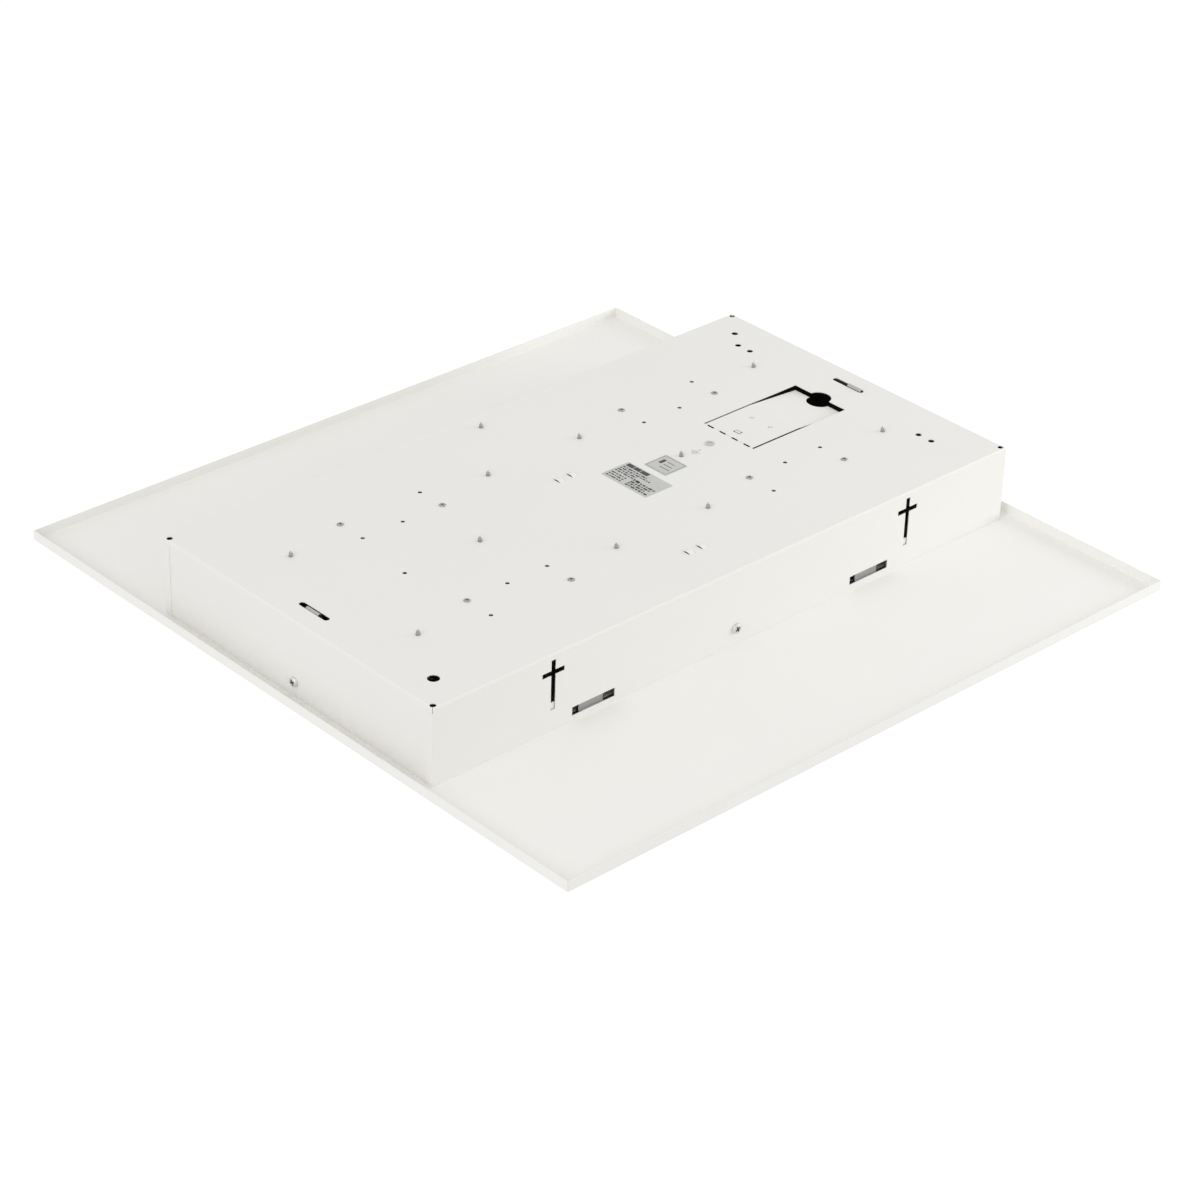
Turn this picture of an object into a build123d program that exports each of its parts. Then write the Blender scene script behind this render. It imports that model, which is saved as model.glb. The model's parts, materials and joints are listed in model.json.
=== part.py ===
from build123d import *
import os
from math import atan2, cos, degrees, pi, radians, tan

# Recessed LED light, millimetres, +Z up, front face of the trim pan down at z = 0
# X runs along the housing, Y across it, origin at the middle of the front face

# Sheet metal and fits
SHEET = 0.7
SLIP = 0.3
BEND_RADIUS = 1.3
CUT_THROUGH = 2.0
SMALL_SIDES = 12

# Trim pan
CEILING_MODULE = 600.0
MODULE_PLAY = 3.0
RIM_HEIGHT = 8.6
COLLAR_HEIGHT = 23.5
RIM_CORNER_SLIT = 0.3

# Housing box
END_LEDGE = 11.75
BOX_WIDTH = 298.6
TOP_HEIGHT = 63.4
TAB_WIDTH = 7.0
TAB_TOP_DROP = 5.0
RELIEF_RADIUS = 2.3
RELIEF_INSET = 3.5
CORNER_SLIT = 0.3
CORNER_SLIT_DEPTH = 4.5

# Slots in the long walls
CROSS_X = 177.6
CROSS_WIDTH = 4.2
CROSS_TOP_DROP = 5.0
CROSS_BOTTOM = 18.0
CROSS_ARM_LENGTH = 20.6
CROSS_ARM_WIDTH = 3.9
CROSS_ARM_DROP = 15.1
CLIP_X = 139.0
CLIP_SLOT_LENGTH = 40.4
CLIP_SLOT_HEIGHT = 6.9
CLIP_SLOT_Z = 8.8
CLIP_WINDOW_MARGIN = 0.8

# Wall screws
SIDE_SCREW_Z = 14.5
END_SCREW_Z = 13.2
WALL_SCREW_HEAD_RADIUS = 4.0
WALL_SCREW_HEAD_HEIGHT = 2.4
WALL_SCREW_CROWN = 1.2
WALL_SCREW_CROWN_RADIUS = 2.9
WALL_SCREW_RADIUS = 1.7
WALL_SCREW_LENGTH = 8.0
RECESS_LENGTH = 4.4
RECESS_WIDTH = 1.0
RECESS_DEPTH = 1.4

# Holes and fasteners of the top
HOLE_PLAY = 0.15
SCREW_RADIUS = 1.65
SCREW_HEAD_RADIUS = 3.3
SCREW_HEAD_HEIGHT = 2.2
SCREW_TIP_HEIGHT = 4.4
SCREW_POINT_HEIGHT = 1.8
SCREW_POINT_RADIUS = 0.4
RIVET_HEAD_RADIUS = 2.7
RIVET_HEAD_HEIGHT = 0.9
RIVET_CROWN_RADIUS = 2.0
RIVET_TAIL_RADIUS = 2.3
RIVET_TAIL_HEIGHT = 1.8
SPARE_HOLE_RADIUS = 1.75
PAIR_HOLE_RADIUS = 2.5
PAIR_X_FROM_LUG = 17.7
PAIR_Y = 98.35
PAIR_SPACING = 13.3
WIRE_HOLE_RADIUS = 4.5
WIRE_HOLE_END_INSET = 25.7
WIRE_HOLE_SIDE_INSET = 29.0
HANG_HOLE_RADIUS = 2.7
HANG_HOLE_END_INSET = 24.3
HANG_HOLE_SIDE_INSET = 27.6
CENTRE_HOLE_FROM_LUG = 81.9

# Bridges of the top for cable ties
TIE_MIDDLE_X = -3.5
TIE_PITCH = 12.8
TIE_REAR_Y = 31.2
TIE_FRONT_Y = 108.0
TIE_WIDTH = 4.6
TIE_LENGTH = 8.0
TIE_RISE = 1.3
TIE_SHOULDER_RISE = 1.0
TIE_SLIT = 0.5

# LED boards
ROW_Y = 70.2
SITE_FRACTION = 0.2428
BOARD_FRACTION = 0.4115
BOARD_WIDTH = 36.0
BOARD_THICKNESS = 1.6
BOARD_SCREW_FRACTION = 0.1626
RIVET_DX = 37.7
RIVET_DY = 12.75
LED_COLUMNS = 12
LED_ROW_DY = 6.0
LED_SIDE = 3.0
LED_HEIGHT = 0.8
LED_END_MARGIN = 17.0
CONNECTOR_LENGTH = 7.0
CONNECTOR_WIDTH = 5.0
CONNECTOR_HEIGHT = 4.0
CONNECTOR_INSET = 2.0

# Gear cover and its snap lugs
LUG_INSET = 19.25
LUG_SLOT_LENGTH = 31.5
LUG_SLOT_WIDTH = 5.0
LUG_WIDTH = 14.0
LUG_THICKNESS = 0.6
LUG_BEND = 1.8
LUG_LEFT_Y = 1.0
LUG_LEFT_RISE = 0.3
LUG_RIGHT_Y = -7.5
LUG_RIGHT_RISE = 1.8
LUG_GRIP = 16.0
LUG_BARB = 1.5
LUG_BARB_START = 1.0
LUG_BARB_DROP = 3.0
LUG_TAIL_DROP = 8.0
LUG_TAIL_OUT = 0.3
COVER_DEPTH = 33.0
COVER_TOP_HALF = 36.0
COVER_BOTTOM_HALF = 29.0

# Cable flap and terminal block
FLAP_END_FROM_LUG = 32.9
FLAP_LENGTH = 98.6
FLAP_WIDTH = 51.0
FLAP_SLIT = 1.6
FLAP_LEVEL = 49.0
FLAP_DIP = 4.1
HINGE_GAP = 0.06
DASH_LENGTH = 6.6
DASH_WIDTH = 1.75
DASH_PITCH = 13.0
DASH_COUNT = 4
CABLE_HOLE_RADIUS = 9.8
HOOK_X = 10.0
HOOK_SLOT_LENGTH = 6.4
HOOK_SLOT_WIDTH = 4.2
HOOK_PLAY = 0.8
PEG_X = 35.0
PEG_Y = 10.0
PEG_RADIUS = 1.3
TERMINAL_START = 14.0
TERMINAL_LENGTH = 34.0
TERMINAL_HEIGHT = 17.0
TERMINAL_WALL = 1.5
TERMINAL_BEVEL = 3.5
POLE_COUNT = 5
POLE_PITCH = 8.4
WIRE_ENTRY_RADIUS = 1.9
WIRE_ENTRY_DEPTH = 6.5
CLAMP_LENGTH = 8.0
CLAMP_WIDTH = 5.0
CLAMP_HEIGHT = 5.4
BUTTON_LENGTH = 6.4
BUTTON_WIDTH = 4.8
BUTTON_PROUD = 1.8
BUTTON_SUNK = 3.6
BUTTON_TRAVEL = 1.2
BUTTON_BEVEL = 0.6

# LED driver and earth parts
EARTH_FROM_HINGE = 20.0
DRIVER_FROM_EARTH = 30.0
DRIVER_SCREW_SPACING = 201.0
DRIVER_EAR = 7.0
DRIVER_LID_INSET = 9.0
DRIVER_WIDTH = 30.0
DRIVER_HEIGHT = 21.0
DRIVER_SHEET = 0.8
FILM = 0.4
DRIVER_BOARD_THICKNESS = 1.6
TRANSFORMER_SIDE = 16.0
TRANSFORMER_HEIGHT = 11.0
CAPACITOR_RADIUS = 5.0
CAPACITOR_LENGTH = 18.0
CAPACITOR_PITCH = 26.0
CAPACITOR_LIFT = 0.2
DRIVER_PORT_LENGTH = 10.0
DRIVER_PORT_WIDTH = 18.0
DRIVER_PORT_HEIGHT = 10.0
STUD_HEAD_RADIUS = 3.6
STUD_HEAD_HEIGHT = 0.8
STUD_DIMPLE_RADIUS = 2.0
STUD_DIMPLE_DEPTH = 0.4
STUD_RADIUS = 2.0
STUD_LENGTH = 12.0
WASHER_RADIUS = 4.5
WASHER_THICKNESS = 0.8
NUT_FLAT = 7.0
NUT_HEIGHT = 3.2
EARTH_TAB_INSET = 18.3
EARTH_TAB_WIDTH = 8.0
EARTH_TAB_FOOT = 14.0
EARTH_TAB_BLADE = 6.3
EARTH_TAB_DROP = 9.0
EARTH_TAB_THICKNESS = 0.8

# Optic and the spring clips that grip it
FRAME_GAP = 2.0
FRAME_RECESS = 0.2
FRAME_LIP = 10.0
DIFFUSER_THICKNESS = 3.0
FRAME_GRIP_WIDTH = 24.0
FRAME_GRIP_HEIGHT = 17.0
CLIP_WIDTH = 23.0
CLIP_THICKNESS = 0.4
CLIP_GRIP_PLAY = 0.3
CLIP_TOP_DROP = 1.5
CLIP_BOW = 8.4
CLIP_BOW_DROP = 1.6
HOLDER_WIDTH = 12.0
HOLDER_REACH = 6.0
HOLDER_THICKNESS = 0.4
HOLDER_LEG = 2.6

# Sizes that follow from the ones above
PAN_SIDE = CEILING_MODULE - MODULE_PLAY
BOX_LENGTH = PAN_SIDE - 2 * END_LEDGE
TOP_UNDER = TOP_HEIGHT - SHEET
END_OUT = BOX_LENGTH / 2 - SHEET
END_IN = END_OUT - SHEET
SIDE_OUT = BOX_WIDTH / 2
SIDE_IN = SIDE_OUT - SHEET
COLLAR_X = END_IN - SLIP
COLLAR_Y = SIDE_IN - SLIP
FIXING_RADIUS = SCREW_RADIUS + HOLE_PLAY
SITE_X = BOX_LENGTH * SITE_FRACTION
BOARD_LENGTH = BOX_LENGTH * BOARD_FRACTION
BOARD_SCREW_DX = BOX_LENGTH * BOARD_SCREW_FRACTION
BOARD_UNDER = TOP_UNDER - BOARD_THICKNESS
LUG_X = BOX_LENGTH / 2 - LUG_INSET
FLAP_END_X = LUG_X - FLAP_END_FROM_LUG
HINGE_X = FLAP_END_X - FLAP_LENGTH
FLAP_FALL = (FLAP_LENGTH - FLAP_LEVEL) * tan(radians(FLAP_DIP))
EARTH_X = HINGE_X - EARTH_FROM_HINGE
DRIVER_RIGHT_X = EARTH_X - DRIVER_FROM_EARTH
DRIVER_LEFT_X = DRIVER_RIGHT_X - DRIVER_SCREW_SPACING
DRIVER_START = DRIVER_LEFT_X + DRIVER_LID_INSET
DRIVER_END = DRIVER_RIGHT_X - DRIVER_LID_INSET
DRIVER_MIDDLE = (DRIVER_START + DRIVER_END) / 2
DRIVER_TOP = TOP_UNDER - DRIVER_SHEET
DRIVER_BOARD_UNDER = DRIVER_TOP - FILM - DRIVER_BOARD_THICKNESS
EARTH_TAB_Y = SIDE_OUT - EARTH_TAB_INSET
TERMINAL_X = HINGE_X + TERMINAL_START
TERMINAL_FLOOR = TOP_UNDER - TERMINAL_HEIGHT
BUTTON_X = TERMINAL_X + TERMINAL_LENGTH - TERMINAL_BEVEL - TERMINAL_WALL - BUTTON_LENGTH / 2
CLAMP_X = TERMINAL_X + TERMINAL_LENGTH / 2
CLAMP_Z = TOP_UNDER - WIRE_ENTRY_DEPTH
FRAME_X = COLLAR_X - SHEET - FRAME_GAP
FRAME_Y = COLLAR_Y - SHEET - FRAME_GAP
FRAME_FLOOR = FRAME_RECESS + SHEET
DIFFUSER_TOP = FRAME_FLOOR + DIFFUSER_THICKNESS
FRAME_TOP = DIFFUSER_TOP + SLIP
SIGNS = (-1, 1)
CORNERS = [(sx, sy) for sy in SIGNS for sx in SIGNS]


def block(x0, x1, y0, y1, z0, z1):
    box = Box(abs(x1 - x0), abs(y1 - y0), abs(z1 - z0))
    return Pos((x0 + x1) / 2, (y0 + y1) / 2, (z0 + z1) / 2) * box


def raised(sketch, z0, z1):
    return Pos(0, 0, z0) * extrude(sketch, z1 - z0)


def disc(x, y, radius):
    return Pos(x, y) * Circle(radius)


def facet_disc(x, y, radius):
    # Small hole or fastener outline, many-sided instead of round
    return Pos(x, y) * RegularPolygon(radius, SMALL_SIDES)


def tapered(x, y, z0, z1, radius, end_radius):
    flat_inset = (radius - end_radius) * cos(pi / SMALL_SIDES)
    angle = degrees(atan2(flat_inset, z1 - z0))
    return Pos(0, 0, z0) * extrude(facet_disc(x, y, radius), z1 - z0, taper=angle)


def group(solids):
    return Compound(children=list(solids))


def board_sites():
    return [(sx * SITE_X, sy * ROW_Y, sy) for sx, sy in CORNERS]


def rivet_points(x, y):
    return [(x - RIVET_DX, y + RIVET_DY), (x + RIVET_DX, y - RIVET_DY)]


def spare_points(x, y, side):
    corners = [(x - RIVET_DX, y - RIVET_DY), (x + RIVET_DX, y + RIVET_DY)]
    return corners + [(x, y - side * RIVET_DY)]


def board_screw_points(x, y):
    return [(x - BOARD_SCREW_DX, y), (x + BOARD_SCREW_DX, y)]


def tapping_screw(x, y, head_top):
    # Head below head_top, point standing out of the top of the housing
    shoulder = TOP_HEIGHT + SCREW_TIP_HEIGHT - SCREW_POINT_HEIGHT
    head = raised(facet_disc(x, y, SCREW_HEAD_RADIUS), head_top - SCREW_HEAD_HEIGHT, head_top)
    shank = raised(facet_disc(x, y, SCREW_RADIUS), head_top, shoulder)
    point = tapered(x, y, shoulder, shoulder + SCREW_POINT_HEIGHT, SCREW_RADIUS, SCREW_POINT_RADIUS)
    return head + shank + point


def wall_screw():
    # Head on +Z, shank along -Z, cross recess in the head
    rim = WALL_SCREW_HEAD_HEIGHT - WALL_SCREW_CROWN
    head = raised(facet_disc(0, 0, WALL_SCREW_HEAD_RADIUS), 0, rim)
    crown = tapered(0, 0, rim, WALL_SCREW_HEAD_HEIGHT, WALL_SCREW_HEAD_RADIUS, WALL_SCREW_CROWN_RADIUS)
    shank = raised(facet_disc(0, 0, WALL_SCREW_RADIUS), -WALL_SCREW_LENGTH, 0)
    cross = Rectangle(RECESS_LENGTH, RECESS_WIDTH) + Rectangle(RECESS_WIDTH, RECESS_LENGTH)
    recess_floor = WALL_SCREW_HEAD_HEIGHT - RECESS_DEPTH
    return head + crown + shank - raised(cross, recess_floor, WALL_SCREW_HEAD_HEIGHT + CUT_THROUGH)


def wall_screw_places():
    places = []
    for s in SIGNS:
        places.append(Plane(origin=(0, s * SIDE_OUT, SIDE_SCREW_Z), x_dir=(1, 0, 0), z_dir=(0, s, 0)))
        places.append(Plane(origin=(s * END_OUT, 0, END_SCREW_Z), x_dir=(0, 1, 0), z_dir=(s, 0, 0)))
    return places


def wall_screw_holes():
    hole = extrude(RegularPolygon(WALL_SCREW_RADIUS + HOLE_PLAY, SMALL_SIDES), WALL_SCREW_LENGTH, both=True)
    return [place.location * hole for place in wall_screw_places()]


def folded_box(length, width, z0, z1, radius):
    solid = block(-length / 2, length / 2, -width / 2, width / 2, z0, z1)
    return fillet(solid.edges().group_by(Axis.Z)[-1], radius)


def corner_tab(sx, sy):
    # End of a long wall, bent round the corner on to the end wall
    tab = block(sx * END_IN, sx * BOX_LENGTH / 2, sy * (SIDE_OUT - TAB_WIDTH), sy * SIDE_OUT,
                SHEET, TOP_HEIGHT - TAB_TOP_DROP)
    corner = Vertex(sx * BOX_LENGTH / 2, sy * SIDE_OUT, (SHEET + TOP_HEIGHT) / 2)
    bend = tab.edges().filter_by(Axis.Z).sort_by(lambda edge: edge.distance_to(corner))[0]
    return fillet(bend, BEND_RADIUS)


def corner_slit(sx, sy):
    # Open seam from the bend relief to the corner of the top
    reach = RELIEF_INSET * 2 ** 0.5
    height = CORNER_SLIT_DEPTH + CUT_THROUGH
    slit = Box(4 * RELIEF_INSET, CORNER_SLIT, height)
    x, y = relief_point(sx, sy)
    z = TOP_HEIGHT - CORNER_SLIT_DEPTH + height / 2
    return Pos(x + sx * reach, y + sy * reach, z) * Rot(0, 0, sx * sy * 45) * slit


def relief_point(sx, sy):
    return sx * (BOX_LENGTH / 2 - RELIEF_INSET), sy * (SIDE_OUT - RELIEF_INSET)


def fixing_points():
    # Places of the screws and rivets that come through the top
    points = [(DRIVER_LEFT_X, 0), (DRIVER_RIGHT_X, 0), (0, EARTH_TAB_Y)]
    for x, y, side in board_sites():
        points += rivet_points(x, y) + board_screw_points(x, y)
    return points


def top_punching():
    # Everything punched out of the top, drawn from above
    shapes = [facet_disc(x, y, FIXING_RADIUS) for x, y in fixing_points()]
    for x, y, side in board_sites():
        shapes += [facet_disc(px, py, SPARE_HOLE_RADIUS) for px, py in spare_points(x, y, side)]
    shapes.append(facet_disc(-LUG_X + CENTRE_HOLE_FROM_LUG, 0, SPARE_HOLE_RADIUS))
    shapes += [disc(*relief_point(sx, sy), RELIEF_RADIUS) for sx, sy in CORNERS]
    pair_x = LUG_X - PAIR_X_FROM_LUG
    for side, step in CORNERS:
        shapes.append(disc(pair_x, side * PAIR_Y + step * PAIR_SPACING / 2, PAIR_HOLE_RADIUS))
    shapes.append(facet_disc(EARTH_X, 0, STUD_RADIUS + HOLE_PLAY))
    wire_x = WIRE_HOLE_END_INSET - BOX_LENGTH / 2
    shapes.append(disc(wire_x, WIRE_HOLE_SIDE_INSET - SIDE_OUT, WIRE_HOLE_RADIUS))
    hang_x = BOX_LENGTH / 2 - HANG_HOLE_END_INSET
    shapes.append(disc(hang_x, SIDE_OUT - HANG_HOLE_SIDE_INSET, HANG_HOLE_RADIUS))
    for s in SIGNS:
        shapes.append(Pos(s * LUG_X, 0) * SlotOverall(LUG_SLOT_LENGTH, LUG_SLOT_WIDTH, rotation=90))
    window = Rectangle(TIE_WIDTH + 2 * TIE_SLIT, TIE_LENGTH)
    shapes += [Pos(x, y) * window for x, y in tie_points()]
    return Sketch() + shapes + flap_punching()


def tie_points():
    places = (TIE_REAR_Y, -TIE_FRONT_Y)
    return [(TIE_MIDDLE_X + s * TIE_PITCH / 2, y) for y in places for s in SIGNS]


def tie_bridge(x, y):
    # Strip of the top between two slits, pushed up to an arch
    half = TIE_LENGTH / 2
    rises = [(half + SLIP, 0), (half, 0), (half / 2, TIE_SHOULDER_RISE)]
    top = [(-reach, TOP_HEIGHT + rise) for reach, rise in rises]
    top += [(0, TOP_HEIGHT + TIE_RISE)]
    top += [(reach, TOP_HEIGHT + rise) for reach, rise in reversed(rises)]
    under = [(reach, z - SHEET) for reach, z in reversed(top)]
    strip = extrude(Plane.YZ * make_face(Polyline(*top, *under, close=True)), TIE_WIDTH / 2, both=True)
    return Pos(x, y, 0) * strip


def flap_punching():
    # Opening round the cable flap, its cable hole and the perforated bending line
    opening_length = FLAP_LENGTH + HINGE_GAP + FLAP_SLIT
    middle = HINGE_X - HINGE_GAP + opening_length / 2
    opening = Pos(middle, 0) * Rectangle(opening_length, FLAP_WIDTH + 2 * FLAP_SLIT)
    return [opening, disc(FLAP_END_X, 0, CABLE_HOLE_RADIUS)] + hinge_dashes()


def hinge_dashes():
    # Row of short slots on the bending line
    dash = Rectangle(DASH_WIDTH, DASH_LENGTH)
    return [Pos(HINGE_X, 0) * spot * dash for spot in GridLocations(0, DASH_PITCH, 1, DASH_COUNT)]


def side_punching():
    # Cross slots and clip slots of the two long walls, drawn from the side
    cross_top = TOP_HEIGHT - CROSS_TOP_DROP
    upright = Rectangle(CROSS_WIDTH, cross_top - CROSS_BOTTOM)
    arm = Rectangle(CROSS_ARM_LENGTH, CROSS_ARM_WIDTH)
    clip_slot = Rectangle(CLIP_SLOT_LENGTH, CLIP_SLOT_HEIGHT)
    shapes = []
    for s in SIGNS:
        shapes.append(Pos(s * CROSS_X, (cross_top + CROSS_BOTTOM) / 2) * upright)
        shapes.append(Pos(s * CROSS_X, TOP_HEIGHT - CROSS_ARM_DROP) * arm)
        shapes.append(Pos(s * CLIP_X, CLIP_SLOT_Z) * clip_slot)
    return Sketch() + shapes


def make_housing():
    # One folded sheet: top, four walls and the long walls' tabs round the corners
    shell = folded_box(2 * END_OUT, BOX_WIDTH, SHEET, TOP_HEIGHT, BEND_RADIUS)
    shell = shell + [corner_tab(sx, sy) for sx, sy in CORNERS]
    shell = shell - folded_box(2 * END_IN, 2 * SIDE_IN, SHEET - CUT_THROUGH, TOP_UNDER, BEND_RADIUS - SHEET)
    shell = shell - raised(top_punching(), TOP_UNDER - CUT_THROUGH, TOP_HEIGHT + CUT_THROUGH)
    shell = shell + [tie_bridge(x, y) for x, y in tie_points()]
    shell = shell - extrude(Plane.XZ * side_punching(), SIDE_OUT + CUT_THROUGH, both=True)
    return shell - [corner_slit(sx, sy) for sx, sy in CORNERS] - wall_screw_holes()


def make_pan():
    # Square sheet with an upturned rim outside and a collar round the opening
    half = PAN_SIDE / 2
    plate = block(-half, half, -half, half, 0, RIM_HEIGHT)
    plate = fillet(plate.edges().group_by(Axis.Z)[0], BEND_RADIUS)
    well = half - SHEET
    hollow = block(-well, well, -well, well, SHEET, RIM_HEIGHT + CUT_THROUGH)
    plate = plate - fillet(hollow.edges().group_by(Axis.Z)[0], BEND_RADIUS - SHEET)
    collar = raised(Rectangle(2 * COLLAR_X, 2 * COLLAR_Y), 0, COLLAR_HEIGHT)
    opening = Rectangle(2 * (COLLAR_X - SHEET), 2 * (COLLAR_Y - SHEET))
    pan = plate + collar - raised(opening, -CUT_THROUGH, COLLAR_HEIGHT + CUT_THROUGH)
    window = Rectangle(CLIP_SLOT_LENGTH + 2 * CLIP_WINDOW_MARGIN, CLIP_SLOT_HEIGHT + 2 * CLIP_WINDOW_MARGIN)
    windows = Sketch() + [Pos(s * CLIP_X, CLIP_SLOT_Z) * window for s in SIGNS]
    pan = pan - extrude(Plane.XZ * windows, COLLAR_Y + SLIP / 2, both=True)
    slit = Box(4 * BEND_RADIUS, RIM_CORNER_SLIT, RIM_HEIGHT)
    slit_z = SHEET + BEND_RADIUS + RIM_HEIGHT / 2
    slits = [Pos(sx * half, sy * half, slit_z) * Rot(0, 0, sx * sy * 45) * slit for sx, sy in CORNERS]
    return pan - slits - wall_screw_holes()


def make_cover():
    # White channel over the driver, open towards the top of the housing
    end = LUG_X + LUG_BEND + SHEET
    top = TOP_UNDER - SLIP
    floor = TOP_UNDER - COVER_DEPTH
    outer = Polyline((-COVER_BOTTOM_HALF, floor), (COVER_BOTTOM_HALF, floor),
                     (COVER_TOP_HALF, top), (-COVER_TOP_HALF, top), close=True)
    low = COVER_BOTTOM_HALF - SHEET
    high = COVER_TOP_HALF - SHEET
    inner = Polyline((-low, floor + SHEET), (low, floor + SHEET), (high, top),
                     (high, TOP_HEIGHT), (-high, TOP_HEIGHT), (-high, top), close=True)
    body = extrude(Plane.YZ * make_face(outer), end, both=True)
    return body - extrude(Plane.YZ * make_face(inner), end - SHEET, both=True)


def make_lug(x, y, rise):
    # Hairpin spring on the cover's end wall, its free leg barbed under the top
    outer = LUG_BEND
    inner = LUG_BEND - LUG_THICKNESS
    foot = TOP_UNDER - LUG_GRIP
    crown = TOP_HEIGHT + rise - LUG_BEND
    start = TOP_UNDER - LUG_BARB_START
    barb = start - LUG_BARB_DROP
    tail = TOP_UNDER - LUG_TAIL_DROP
    lines = [Line((outer, foot), (outer, crown)),
             ThreePointArc((outer, crown), (0, crown + outer), (-outer, crown)),
             Polyline((-outer, crown), (-outer, start), (-outer - LUG_BARB, barb), (-outer - LUG_TAIL_OUT, tail),
                      (-inner - LUG_TAIL_OUT, tail), (-inner - LUG_BARB, barb), (-inner, start), (-inner, crown)),
             ThreePointArc((-inner, crown), (0, crown + inner), (inner, crown)),
             Polyline((inner, crown), (inner, foot), (outer, foot))]
    lug = extrude(Plane.XZ * make_face(lines), LUG_WIDTH / 2, both=True)
    if x < 0:
        lug = mirror(lug, Plane.YZ)
    return Pos(x, y, 0) * lug


def make_board(x, y, side):
    outline = Pos(x, y) * Rectangle(BOARD_LENGTH, BOARD_WIDTH)
    holes = [facet_disc(px, py, FIXING_RADIUS) for px, py in rivet_points(x, y) + board_screw_points(x, y)]
    holes += [facet_disc(px, py, SPARE_HOLE_RADIUS) for px, py in spare_points(x, y, side)]
    return raised(outline - holes, BOARD_UNDER, TOP_UNDER)


def make_leds(x, y):
    pitch = (BOARD_LENGTH - 2 * LED_END_MARGIN) / (LED_COLUMNS - 1)
    led = Pos(x, y, BOARD_UNDER - LED_HEIGHT / 2) * Box(LED_SIDE, LED_SIDE, LED_HEIGHT)
    return group(spot * led for spot in GridLocations(pitch, 2 * LED_ROW_DY, LED_COLUMNS, 2))


def make_connectors():
    reach = BOARD_LENGTH / 2 - CONNECTOR_INSET - CONNECTOR_LENGTH / 2
    socket = Box(CONNECTOR_LENGTH, CONNECTOR_WIDTH, CONNECTOR_HEIGHT)
    z = BOARD_UNDER - CONNECTOR_HEIGHT / 2
    return group(Pos(sx * (SITE_X - reach), sy * ROW_Y, z) * socket for sx, sy in CORNERS)


def make_rivet(x, y):
    head = tapered(x, y, TOP_HEIGHT, TOP_HEIGHT + RIVET_HEAD_HEIGHT, RIVET_HEAD_RADIUS, RIVET_CROWN_RADIUS)
    shank = raised(facet_disc(x, y, SCREW_RADIUS), BOARD_UNDER, TOP_HEIGHT)
    tail = raised(facet_disc(x, y, RIVET_TAIL_RADIUS), BOARD_UNDER - RIVET_TAIL_HEIGHT, BOARD_UNDER)
    return head + shank + tail


def make_driver_base():
    length = DRIVER_SCREW_SPACING + 2 * DRIVER_EAR
    outline = Pos((DRIVER_LEFT_X + DRIVER_RIGHT_X) / 2, 0) * Rectangle(length, DRIVER_WIDTH)
    holes = [facet_disc(x, 0, FIXING_RADIUS) for x in (DRIVER_LEFT_X, DRIVER_RIGHT_X)]
    return raised(outline - holes, DRIVER_TOP, TOP_UNDER)


def make_driver_lid():
    # Open tray against the base, with a window for the connectors in each end
    half = DRIVER_WIDTH / 2
    tray = block(DRIVER_START, DRIVER_END, -half, half, TOP_UNDER - DRIVER_HEIGHT, DRIVER_TOP)
    tray = offset(tray, -DRIVER_SHEET, openings=tray.faces().sort_by(Axis.Z)[-1])
    port = DRIVER_PORT_WIDTH / 2 + SLIP
    port_low = DRIVER_BOARD_UNDER - DRIVER_PORT_HEIGHT - SLIP
    return tray - block(DRIVER_START - CUT_THROUGH, DRIVER_END + CUT_THROUGH, -port, port,
                        port_low, DRIVER_BOARD_UNDER)


def driver_plate(z0, z1):
    edge = DRIVER_SHEET + SLIP
    half = DRIVER_WIDTH / 2 - edge
    return block(DRIVER_START + edge, DRIVER_END - edge, -half, half, z0, z1)


def make_transformer():
    side = TRANSFORMER_SIDE / 2
    return block(DRIVER_MIDDLE - side, DRIVER_MIDDLE + side, -side, side,
                 DRIVER_BOARD_UNDER - TRANSFORMER_HEIGHT, DRIVER_BOARD_UNDER)


def make_capacitors():
    # Two cans lying along the driver, one on each side of the transformer
    reach = (TRANSFORMER_SIDE + CAPACITOR_PITCH + CAPACITOR_LENGTH) / 2
    can = extrude(Plane.YZ * RegularPolygon(CAPACITOR_RADIUS, SMALL_SIDES), CAPACITOR_LENGTH / 2, both=True)
    z = DRIVER_BOARD_UNDER - CAPACITOR_RADIUS - CAPACITOR_LIFT
    return group(Pos(DRIVER_MIDDLE + s * reach, 0, z) * can for s in SIGNS)


def make_driver_ports():
    reach = (DRIVER_END - DRIVER_START) / 2 - DRIVER_SHEET - SLIP - DRIVER_PORT_LENGTH / 2
    port = Box(DRIVER_PORT_LENGTH, DRIVER_PORT_WIDTH, DRIVER_PORT_HEIGHT)
    z = DRIVER_BOARD_UNDER - DRIVER_PORT_HEIGHT / 2
    return group(Pos(DRIVER_MIDDLE + s * reach, 0, z) * port for s in SIGNS)


def make_stud():
    # Turned head with a dish, shank hanging below it
    head_top = TOP_HEIGHT + STUD_HEAD_HEIGHT
    dish = head_top - STUD_DIMPLE_DEPTH
    profile = Polyline((0, TOP_HEIGHT), (STUD_HEAD_RADIUS, TOP_HEIGHT), (STUD_HEAD_RADIUS, head_top),
                       (STUD_DIMPLE_RADIUS, head_top), (STUD_DIMPLE_RADIUS, dish), (0, dish), close=True)
    head = Pos(EARTH_X, 0, 0) * revolve(Plane.XZ * make_face(profile), Axis.Z)
    return head + raised(facet_disc(EARTH_X, 0, STUD_RADIUS), TOP_UNDER - STUD_LENGTH, TOP_HEIGHT)


def make_washer():
    ring = facet_disc(EARTH_X, 0, WASHER_RADIUS) - facet_disc(EARTH_X, 0, STUD_RADIUS + HOLE_PLAY)
    return raised(ring, TOP_UNDER - WASHER_THICKNESS, TOP_UNDER)


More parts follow.
